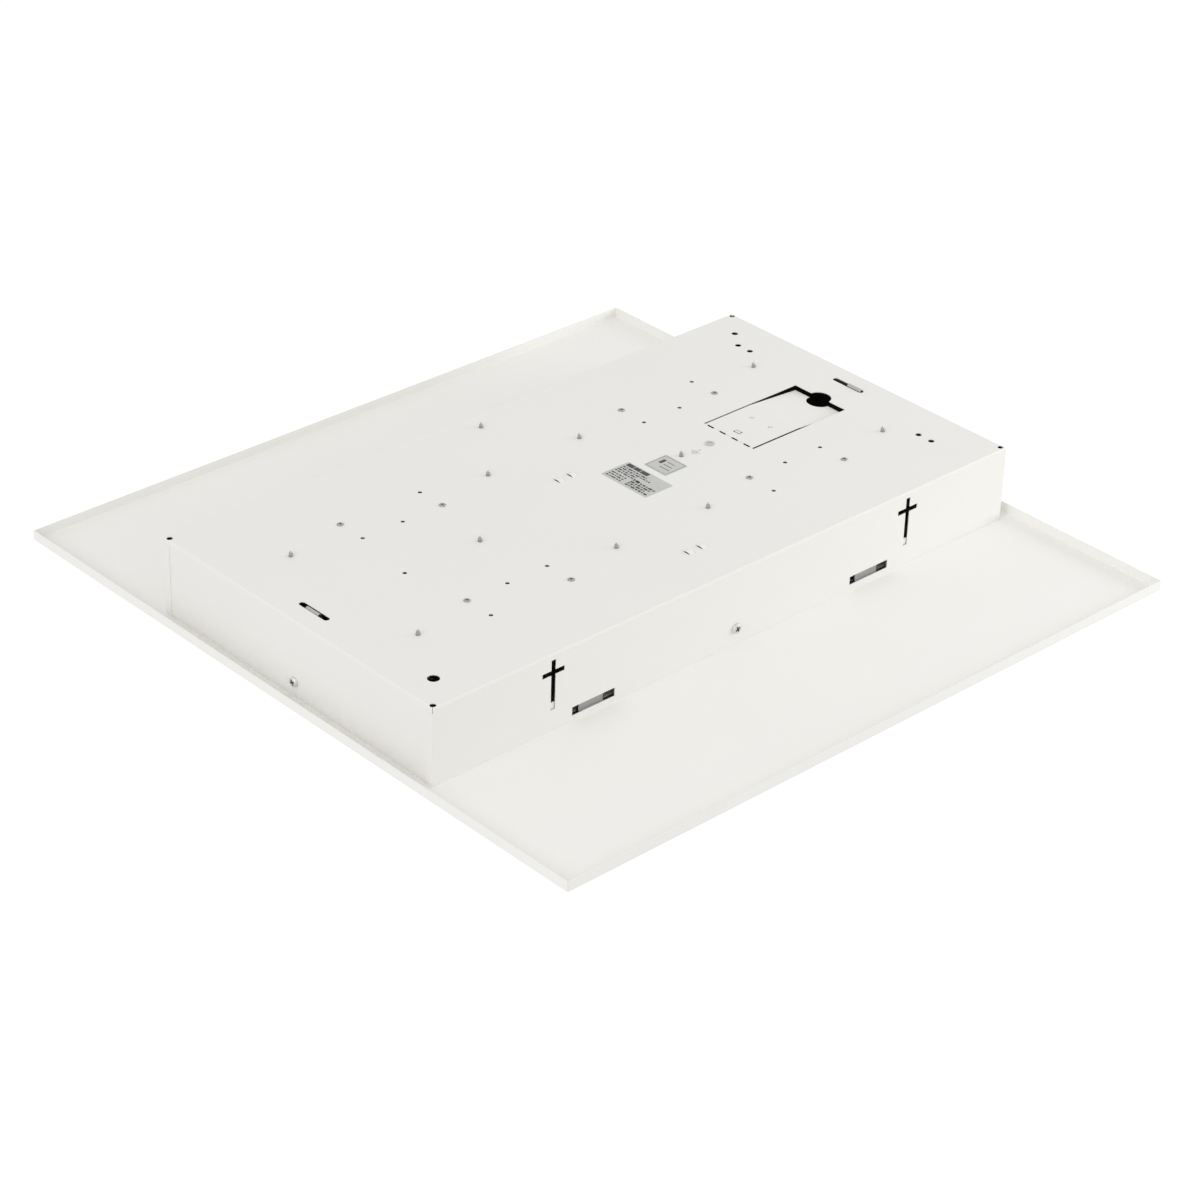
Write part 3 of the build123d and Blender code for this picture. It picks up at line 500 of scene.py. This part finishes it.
def moulded_plastic(name, pale, deep, roughness, back=None):
    # Plastic or board with a fine skin, and where asked a dark back painted as shade
    finish = Finish(name)
    colour = finish.mixed(finish.noise(scale=60.0, detail=3.0), deep, pale)
    if back:
        colour = finish.mixed(back(finish), colour, PRIMER_AND_SHADE_GREY)
    finish.colour(colour)
    finish.roughness(finish.noise(scale=900.0), low=roughness * 0.85, high=roughness * 1.15)
    finish.relief(finish.noise(scale=2200.0), strength=0.15, depth=0.05)
    return finish.material


def opal_acrylic():
    finish = Finish("opal_acrylic")
    finish.shader.inputs["IOR"].default_value = 1.49
    finish.colour(finish.mixed(finish.noise(scale=14.0), (240, 240, 238), (246, 246, 244)))
    finish.roughness(finish.noise(scale=300.0), low=0.24, high=0.32)
    finish.relief(finish.noise(scale=1400.0, detail=1.0), strength=0.08, depth=0.03)
    return finish.material


def label_foil():
    finish = Finish("label_foil", metallic=0.2)
    finish.colour(finish.mixed(finish.noise(scale=70.0, detail=3.0), (190, 190, 187), (203, 203, 200)))
    finish.roughness(finish.noise(scale=500.0), low=0.40, high=0.55)
    finish.relief(finish.noise(scale=1800.0, detail=1.0), strength=0.06, depth=0.03)
    return finish.material


def label_ink():
    finish = Finish("label_ink")
    finish.colour(finish.mixed(finish.noise(scale=1900.0, detail=3.0), (22, 22, 23), (70, 70, 71)))
    finish.roughness(finish.noise(scale=800.0, detail=1.0), low=0.45, high=0.6)
    return finish.material


# Each finish with its pale and deep screen colours
# The housing, flap, cover, optic and board finishes are dark on their backs as painted shade
housing_white = powder_coat("housing_white", (236, 235, 231), (233, 232, 228), housing_back_shade)
flap_white = powder_coat("flap_white", (236, 235, 231), (233, 232, 228), flap_back_shade)
cover_white = powder_coat("cover_white", (238, 238, 235), (235, 235, 232), cover_back_shade)
mark_grey = powder_coat("mark_grey", (204, 203, 199), (192, 191, 187))
trim_white = powder_coat("trim_white", (242, 241, 237), (239, 238, 234))
optic_white = powder_coat("optic_white", (242, 241, 237), (239, 238, 234), optic_back_shade)
driver_coat = powder_coat("driver_coat", (226, 226, 224), (221, 221, 219))
zinc = plated_steel("zinc", (178, 178, 176), (150, 150, 148), 0.34)
pale_zinc = plated_steel("pale_zinc", (222, 222, 220), (208, 208, 206), 0.26, 0.5)
stud_zinc = plated_steel("stud_zinc", (204, 204, 202), (186, 186, 184), 0.34, 0.4)
# Darker zinc for the cross recess of the wall screws, painted shade
recess_shade_zinc = plated_steel("recess_shade_zinc", (128, 128, 127), (104, 104, 103), 0.60, 0.1)
clip_steel = plated_steel("clip_steel", (206, 206, 204), (190, 190, 188), 0.22, 0.35, (1.0, 1.0, 0.15))
lug_steel = plated_steel("lug_steel", (190, 190, 188), (166, 166, 164), 0.22, 0.7, (0.15, 1.0, 1.0))
brass = plated_steel("brass", (214, 186, 120), (196, 166, 98), 0.30)
pale_plastic = moulded_plastic("pale_plastic", (232, 231, 226), (226, 225, 220), 0.42)
grey_plastic = moulded_plastic("grey_plastic", (128, 130, 132), (118, 120, 122), 0.45)
board_mask = moulded_plastic("board_mask", (238, 238, 236), (230, 230, 228), 0.35, board_back_shade)
film_sheet = moulded_plastic("film_sheet", (214, 206, 176), (205, 196, 164), 0.30)
green_mask = moulded_plastic("green_mask", (38, 96, 60), (30, 82, 50), 0.35)
ferrite_block = moulded_plastic("ferrite_block", (62, 62, 64), (46, 46, 48), 0.60)
capacitor_sleeve = moulded_plastic("capacitor_sleeve", (34, 36, 44), (26, 28, 34), 0.30)
led_phosphor = moulded_plastic("led_phosphor", (246, 214, 96), (240, 202, 78), 0.30)
opal = opal_acrylic()
foil = label_foil()
ink = label_ink()

SLOT_FINISH = {"white_steel": housing_white, "screw_steel": zinc, "spring_steel": clip_steel,
               "board_white": board_mask, "led": led_phosphor, "pale_plastic": pale_plastic,
               "grey_plastic": grey_plastic, "driver_case": driver_coat, "film": film_sheet,
               "green_board": green_mask, "ferrite": ferrite_block, "capacitor": capacitor_sleeve,
               "brass": brass, "opal": opal}
NODE_FINISH = {"trim_pan": trim_white, "optic_frame": optic_white, "cable_flap": flap_white,
               "gear_cover": cover_white, "earth_stud": stud_zinc, "cover_lug_left": lug_steel,
               "cover_lug_right": lug_steel}


def dress_frame():
    # Give every CAD node its own finish, or that of its material slot
    for subpart in frame["record"]["subparts"]:
        node = subpart["node"]
        finish = NODE_FINISH.get(node, SLOT_FINISH[subpart["material_slot"]])
        mesh = frame["nodes"][node].data
        if not mesh.materials:
            mesh.materials.append(finish)
        for index in range(len(mesh.materials)):
            mesh.materials[index] = finish


# Pieces


def make_screws(name, node):
    # Tapping screws: crowned head below, rolled thread, point above the top
    bm = bmesh.new()
    core = SCREW_SHANK_RADIUS - THREAD_DEPTH
    for low, high in solid_boxes(node):
        middle = (low + high) / 2
        radius = (high.x - low.x) / 2
        head_top = low.z + SCREW_HEAD_HEIGHT
        shoulder = high.z - SCREW_POINT_LENGTH
        head = [(0, low.z), (radius * SCREW_CROWN_FLAT, low.z),
                (radius * SCREW_CROWN_SHOULDER, low.z + SCREW_HEAD_CROWN / 2),
                (radius, low.z + SCREW_HEAD_CROWN), (radius, head_top)]
        shank = [(core, head_top), (core, shoulder),
                 (core * SCREW_TIP_SHARE, high.z - SCREW_TIP_LENGTH), (0, high.z)]
        place = Matrix.Translation((middle.x, middle.y, 0))
        add_turned(bm, head + shank, place, SCREW_STEPS)
        add_thread(bm, core, head_top + THREAD_START, shoulder, place)
    finish_piece(name, bm, [zinc], "body", (node,))


def add_thread(bm, core, start, end, place):
    # One ridge wound round the core, three points in section
    turns = (end - start) / THREAD_PITCH
    steps = int(turns * THREAD_STEPS)
    foot = THREAD_PITCH * THREAD_FOOT
    root = core * THREAD_ROOT_SHARE
    crest = core + THREAD_DEPTH
    corners = [(root, start), (crest, start + THREAD_PITCH * THREAD_CREST), (root, start + foot)]
    verts = [bm.verts.new((radius, 0, height)) for radius, height in corners]
    edges = [bm.edges.new(pair) for pair in zip(verts, verts[1:] + verts[:1])]
    bm.faces.new(verts)
    rise = (end - start - foot) / steps
    spun = bmesh.ops.spin(bm, geom=verts + edges, cent=(0, 0, 0), axis=(0, 0, 1), dvec=(0, 0, rise),
                          angle=tau * turns, steps=steps, use_merge=False, use_duplicate=False)
    bm.faces.new([item for item in spun["geom_last"] if isinstance(item, bmesh.types.BMVert)])
    set_in_place(bm, place)


def make_rivets():
    # Blind rivets: domed flange with the drawn bore in it, bulb below the board
    bm = bmesh.new()
    for low, high in solid_boxes("board_rivets"):
        middle = (low + high) / 2
        radius = (high.x - low.x) / 2
        flange = high.z - RIVET_HEAD_HEIGHT
        bulb = low.z + RIVET_TAIL_HEIGHT
        outline = [(0, high.z - RIVET_BORE_DEPTH), (RIVET_BORE_RADIUS, high.z - RIVET_BORE_DEPTH),
                   (RIVET_BORE_RADIUS, high.z - RIVET_BORE_EDGE_DEPTH),
                   (RIVET_BORE_RADIUS + RIVET_BORE_EDGE, high.z)]
        ring = RIVET_BORE_RADIUS + RIVET_FLAT_RING
        for step in range(1, RIVET_DOME_STEPS + 1):
            turn = step * pi / 2 / RIVET_DOME_STEPS
            height = RIVET_EDGE_HEIGHT + (RIVET_HEAD_HEIGHT - RIVET_EDGE_HEIGHT) * cos(turn)
            outline.append((ring + (radius - ring) * sin(turn), flange + height))
        outline += [(radius, flange), (RIVET_SHANK_RADIUS, flange), (RIVET_SHANK_RADIUS, bulb),
                    (RIVET_TAIL_RADIUS, bulb - RIVET_TAIL_SHOULDER),
                    (RIVET_TAIL_RADIUS, low.z + RIVET_TAIL_ROUND),
                    (RIVET_TAIL_RADIUS - RIVET_TAIL_INSET, low.z), (0, low.z)]
        add_turned(bm, outline, Matrix.Translation((middle.x, middle.y, 0)), RIVET_STEPS)
    finish_piece("board_rivets_formed", bm, [zinc], "body", ("board_rivets",))


def wall_screw_outline():
    # Pan head on +Z with a low crown, and its shank below
    outline = [(0, WALL_SCREW_HEAD)]
    for step in range(1, WALL_SCREW_CROWN_STEPS + 1):
        reach = WALL_SCREW_RADIUS * WALL_SCREW_CROWN_REACH * step
        outline.append((reach, WALL_SCREW_HEAD - WALL_SCREW_CROWN_DROP * step * step))
    for across, up in WALL_SCREW_SHOULDER:
        outline.append((WALL_SCREW_RADIUS * across, WALL_SCREW_HEAD * up))
    outline += [(WALL_SCREW_RADIUS, 0), (WALL_SCREW_SHANK_RADIUS, 0),
                (WALL_SCREW_SHANK_RADIUS, -WALL_SCREW_SHANK_END), (0, -WALL_SCREW_TIP)]
    return outline


def top_faces(screw):
    # Faces on the crown of the head
    least = WALL_SCREW_HEAD * WALL_SCREW_TOP_SHARE
    return [face for face in screw.faces if face.calc_center_median().z > least]


def in_cross(face):
    # Whether a face of the head lies inside the outline of the cross recess
    middle = face.calc_center_median()
    short, long = sorted((abs(middle.x), abs(middle.y)))
    return short < RECESS_HALF and long < RECESS_REACH


def add_wall_screw(bm, place):
    # Turned screw, its head cut along the outline of the cross, and the cross sunk in
    screw = bmesh.new()
    add_turned(screw, wall_screw_outline(), Matrix.Identity(4), WALL_SCREW_STEPS)
    for reach in (-RECESS_REACH, -RECESS_HALF, RECESS_HALF, RECESS_REACH):
        for axis in ((1, 0, 0), (0, 1, 0)):
            geometry = {item for face in top_faces(screw) for item in (face, *face.edges, *face.verts)}
            bmesh.ops.bisect_plane(screw, geom=list(geometry), dist=CUT_SNAP,
                                   plane_co=Vector(axis) * reach, plane_no=axis)
    cross = [face for face in top_faces(screw) if in_cross(face)]
    sunk = bmesh.ops.extrude_face_region(screw, geom=cross)["geom"]
    moved = [item for item in sunk if isinstance(item, bmesh.types.BMVert)]
    # The sunk faces of the cross take the darker recess finish as painted shade
    for face in faces_of(moved):
        face.material_index = 1
    bmesh.ops.translate(screw, vec=(0, 0, -RECESS_DEPTH), verts=moved)
    bmesh.ops.delete(screw, geom=cross, context="FACES")
    bmesh.ops.transform(screw, matrix=place, verts=screw.verts)
    mesh = bpy.data.meshes.new("wall_screw")
    screw.to_mesh(mesh)
    screw.free()
    bm.from_mesh(mesh)
    bpy.data.meshes.remove(mesh)


def make_wall_screws():
    # One screw in each wall, its head on the outer side
    bm = bmesh.new()
    for low, high in solid_boxes("housing_screws"):
        middle = (low + high) / 2
        axis = 1 if abs(middle.y) > abs(middle.x) else 0
        side = 1 if middle[axis] > 0 else -1
        outward = Vector((0, 0, 0))
        outward[axis] = side
        seat = middle.copy()
        seat[axis] = (high if side > 0 else low)[axis] - side * WALL_SCREW_HEAD
        facing = outward.to_track_quat("Z", "Y").to_matrix().to_4x4()
        turn = Matrix.Rotation(WALL_SCREW_TURN, 4, "Z")
        add_wall_screw(bm, Matrix.Translation(seat) @ facing @ turn)
    finish_piece("wall_screws", bm, [pale_zinc, recess_shade_zinc], "body", ("housing_screws",))


def make_leds(number):
    # White packages with a sunk yellow lens that faces down
    bm = bmesh.new()
    node = f"led_chips_{number}"
    for low, high in solid_boxes(node):
        faces = add_plate(bm, low, high, LED_CORNER, LED_CORNER_STEPS)
        window = min(faces, key=lambda face: face.calc_center_median().z)
        bmesh.ops.inset_individual(bm, faces=[window], thickness=LED_FRAME)
        bmesh.ops.inset_individual(bm, faces=[window], thickness=LED_LENS_EDGE, depth=-LED_LENS_SINK)
        window.material_index = 1
    finish_piece(f"led_packages_{number}", bm, [pale_plastic, led_phosphor], "body", (node,))


def make_label(name, label, bars):
    # Foil with rounded corners, and plain bars along its reading direction and up from its lower edge
    bm = bmesh.new()
    x0, x1, y0, y1 = label
    under = top_level()
    face = under + LABEL_THICKNESS
    add_plate(bm, (x0, y0, under), (x1, y1, face), LABEL_CORNER, LABEL_CORNER_STEPS)
    for start, end, low, high in bars:
        add_bar(bm, (x0 + low, y1 - end, face), (x0 + high, y1 - start, face + PRINT_HEIGHT), finish=1)
    finish_piece(name, bm, [foil, ink], "body")


def rating_bars():
    # Heading blocks, then blocks of lines broken into dashes
    bars = [(start, end, *HEADING_LEVELS) for start, end in HEADING_BLOCKS]
    for start, ends, level, pitch, height, first in DASH_BLOCKS:
        for row, end in enumerate(ends):
            bars += dashes(start, end, level - row * pitch, height, first + row)
    return bars


def dashes(start, end, level, height, first):
    # One line as dashes of several lengths in turn
    bars = []
    step = first
    while start < end:
        stop = min(end, start + DASH_LENGTHS[step % len(DASH_LENGTHS)])
        bars.append((start, stop, level, level + height))
        start = stop + DASH_GAP
        step += 1
    return bars


def small_bars():
    # Thin ruled border, one short block and a few lines, each shorter than the last
    across = SMALL_LABEL[3] - SMALL_LABEL[2] - BORDER_INSET
    up = SMALL_LABEL[1] - SMALL_LABEL[0] - BORDER_INSET
    bars = [(BORDER_INSET, across, BORDER_INSET, BORDER_INSET + BORDER_LINE),
            (BORDER_INSET, across, up - BORDER_LINE, up),
            (BORDER_INSET, BORDER_INSET + BORDER_LINE, BORDER_INSET, up),
            (across - BORDER_LINE, across, BORDER_INSET, up),
            SMALL_BLOCK]
    longest = SMALL_LABEL[3] - SMALL_LABEL[2] - SMALL_LINE_MARGIN
    for row in range(SMALL_LINE_COUNT):
        level = SMALL_LINE_LEVEL + row * SMALL_LINE_PITCH
        end = longest - SMALL_LINE_STEP * row
        bars.append((SMALL_LINE_START, end, level, level + SMALL_LINE_HEIGHT))
    return bars


def make_earth_mark():
    # Raised earth sign: a stem and three bars, each shorter than the last
    bm = bmesh.new()
    low = top_level() - EARTH_MARK_SINK
    high = top_level() + EARTH_MARK_HEIGHT
    half = EARTH_MARK_LINE / 2
    for step, length in enumerate(EARTH_MARK_BARS):
        x = EARTH_MARK_X - step * EARTH_MARK_PITCH
        add_bar(bm, (x - half, EARTH_MARK_Y - length / 2, low),
                (x + half, EARTH_MARK_Y + length / 2, high), EARTH_MARK_EDGE)
    add_bar(bm, (EARTH_MARK_X, EARTH_MARK_Y - half, low),
            (EARTH_MARK_X + EARTH_MARK_STEM, EARTH_MARK_Y + half, high), EARTH_MARK_EDGE)
    finish_piece("earth_mark", bm, [mark_grey], "body")


# Stage


def floor_light(nodes):
    # Light that the floor gives, none right under the slit round the optic, where the object lies on it
    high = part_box("optic_frame")[1]
    past_x = nodes.maths("SUBTRACT", nodes.distance("X"), high.x)
    past_y = nodes.maths("SUBTRACT", nodes.distance("Y"), high.y)
    away = nodes.maths("ABSOLUTE", nodes.maths("MAXIMUM", past_x, past_y))
    return nodes.span(away, 0.0, FLOOR_GLOW, SLIT_SHADE * MM, SLIT_SHADE_END * MM)


def floor_finish():
    # White and shaded where it is looked at, an even glow as light on the object, and clear from below
    material = bpy.data.materials.new("floor_white")
    material.use_nodes = True
    nodes = Nodes(material.node_tree)
    nodes.tree.nodes.clear()
    shade = nodes.add("ShaderNodeBsdfDiffuse")
    shade.inputs["Color"].default_value = (FLOOR_SHADE, FLOOR_SHADE, FLOOR_SHADE, 1)
    shown = nodes.add("ShaderNodeAddShader")
    nodes.put(nodes.glow("ShaderNodeEmission", FLOOR_WHITE), shown.inputs[0])
    nodes.put(shade.outputs[0], shown.inputs[1])
    seen = nodes.looked_at("Is Camera Ray", "Is Glossy Ray")
    above = nodes.shader_mix(seen, nodes.glow("ShaderNodeEmission", floor_light(nodes)), shown.outputs[0])
    side = nodes.add("ShaderNodeNewGeometry")
    clear = nodes.add("ShaderNodeBsdfTransparent")
    both = nodes.shader_mix(side.outputs["Backfacing"], above, clear.outputs[0])
    nodes.put(both, nodes.add("ShaderNodeOutputMaterial").inputs["Surface"])
    return material


def make_floor():
    mesh = bpy.data.meshes.new("floor")
    bm = bmesh.new()
    bmesh.ops.create_grid(bm, x_segments=1, y_segments=1, size=FLOOR_SIDE * MM / 2,
                          matrix=Matrix.Translation((0, 0, -FLOOR_DROP * MM)))
    bm.to_mesh(mesh)
    bm.free()
    mesh.materials.append(floor_finish())
    floor = bpy.data.objects.new("floor", mesh)
    bpy.context.scene.collection.objects.link(floor)


def make_world():
    # White where it is looked at, and an even sky as light on the object
    world = bpy.data.worlds.new("studio")
    bpy.context.scene.world = world
    world.use_nodes = True
    nodes = Nodes(world.node_tree)
    nodes.tree.nodes.clear()
    seen = nodes.looked_at("Is Camera Ray", "Is Glossy Ray", "Is Transmission Ray")
    sky = nodes.glow("ShaderNodeBackground", SKY_LEVEL)
    white = nodes.glow("ShaderNodeBackground", 1.0)
    nodes.put(nodes.shader_mix(seen, sky, white), nodes.add("ShaderNodeOutputWorld").inputs["Surface"])


def add_softbox(name, place, aim, side, power):
    # Square area lamp at a place, turned to the point that it lights
    lamp = bpy.data.lights.new(name, "AREA")
    lamp.shape = "SQUARE"
    lamp.size = side * MM
    lamp.energy = power
    light = bpy.data.objects.new(name, lamp)
    light.location = Vector(place) * MM
    light.rotation_mode = "QUATERNION"
    light.rotation_quaternion = (Vector(aim) - Vector(place)).to_track_quat("-Z", "Y")
    bpy.context.scene.collection.objects.link(light)


def make_camera():
    forward = Vector((-sin(CAMERA_AZIMUTH) * cos(CAMERA_ELEVATION),
                      cos(CAMERA_AZIMUTH) * cos(CAMERA_ELEVATION), -sin(CAMERA_ELEVATION)))
    level = forward.cross(Vector((0, 0, 1))).normalized()
    rise = level.cross(forward)
    right = cos(CAMERA_ROLL) * level + sin(CAMERA_ROLL) * rise
    up = -sin(CAMERA_ROLL) * level + cos(CAMERA_ROLL) * rise
    place = (CAMERA_RIGHT * right + CAMERA_UP * up - CAMERA_DISTANCE * forward) * MM
    lens = bpy.data.cameras.new("camera")
    lens.lens = CAMERA_LENS
    lens.sensor_width = CAMERA_SENSOR
    lens.clip_end = CAMERA_REACH * MM
    camera = bpy.data.objects.new("camera", lens)
    turn = Matrix((right, up, -forward)).transposed().to_4x4()
    camera.matrix_world = Matrix.Translation(place) @ turn
    bpy.context.scene.collection.objects.link(camera)
    bpy.context.scene.camera = camera


dress_frame()
make_screws("board_screws_threaded", "board_screws")
make_screws("driver_screws_threaded", "driver_screws")
make_screws("earth_tab_screw_threaded", "earth_tab_screw")
make_rivets()
make_wall_screws()
for number in range(1, LED_BOARD_COUNT + 1):
    make_leds(number)
make_label("rating_label", RATING_LABEL, rating_bars())
make_label("small_label", SMALL_LABEL, small_bars())
make_earth_mark()
make_floor()
make_world()
add_softbox("key_softbox", KEY_PLACE, KEY_AIM, KEY_SIDE, KEY_POWER)
add_softbox("fill_softbox", FILL_PLACE, FILL_AIM, FILL_SIDE, FILL_POWER)
make_camera()
bpy.context.scene.view_settings.view_transform = "Standard"
